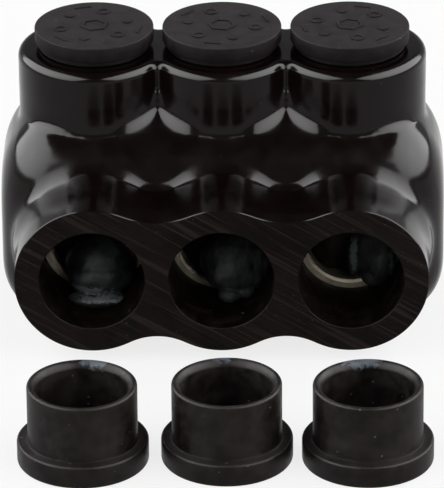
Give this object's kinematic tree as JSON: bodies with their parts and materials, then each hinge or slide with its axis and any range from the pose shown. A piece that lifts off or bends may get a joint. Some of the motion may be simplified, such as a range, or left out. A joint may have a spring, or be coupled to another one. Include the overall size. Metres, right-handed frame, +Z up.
{
  "type": "insulated multi-tap connector",
  "caption": "Block in a soft black insulating boot that joins wires side by side, each clamped by a hex-socket screw under a lift-off cap, with the round port stoppers taken out.",
  "frame": {"origin": "on the flat base of the boot, below the middle screw's axis", "axes": "+X along the row of ports to the viewer's right, -Y out of the wire ports, +Z up along the screws"},
  "size_m": [0.0904, 0.1075, 0.058],
  "materials": {
    "boot": "glossy soft moulding, matt where cut",
    "block": "plated, satin",
    "screw": "satin",
    "cap": "matt moulding",
    "stopper": "matt moulding"
  },
  "bodies": {
    "boot": {"insulating_boot": "boot", "connector_block": "block", "port_plug_left": "stopper", "port_plug_middle": "stopper", "port_plug_right": "stopper"},
    "screw_left": {"set_screw_left": "screw"},
    "screw_middle": {"set_screw_middle": "screw"},
    "screw_right": {"set_screw_right": "screw"},
    "cap_left": {"screw_cap_left": "cap"},
    "cap_middle": {"screw_cap_middle": "cap"},
    "cap_right": {"screw_cap_right": "cap"}
  },
  "joints": [
    {"name": "screw_left_drive", "type": "slide", "parent": "boot", "child": "screw_left", "axis": [0, 0, 1], "range_m": [-0.009, 0]},
    {"name": "cap_left_lift", "type": "slide", "parent": "boot", "child": "cap_left", "axis": [0, 0, 1], "range_m": [0, 0.03]},
    {"name": "screw_middle_drive", "type": "slide", "parent": "boot", "child": "screw_middle", "axis": [0, 0, 1], "range_m": [-0.009, 0]},
    {"name": "cap_middle_lift", "type": "slide", "parent": "boot", "child": "cap_middle", "axis": [0, 0, 1], "range_m": [0, 0.03]},
    {"name": "screw_right_drive", "type": "slide", "parent": "boot", "child": "screw_right", "axis": [0, 0, 1], "range_m": [-0.009, 0]},
    {"name": "cap_right_lift", "type": "slide", "parent": "boot", "child": "cap_right", "axis": [0, 0, 1], "range_m": [0, 0.03]}
  ]
}
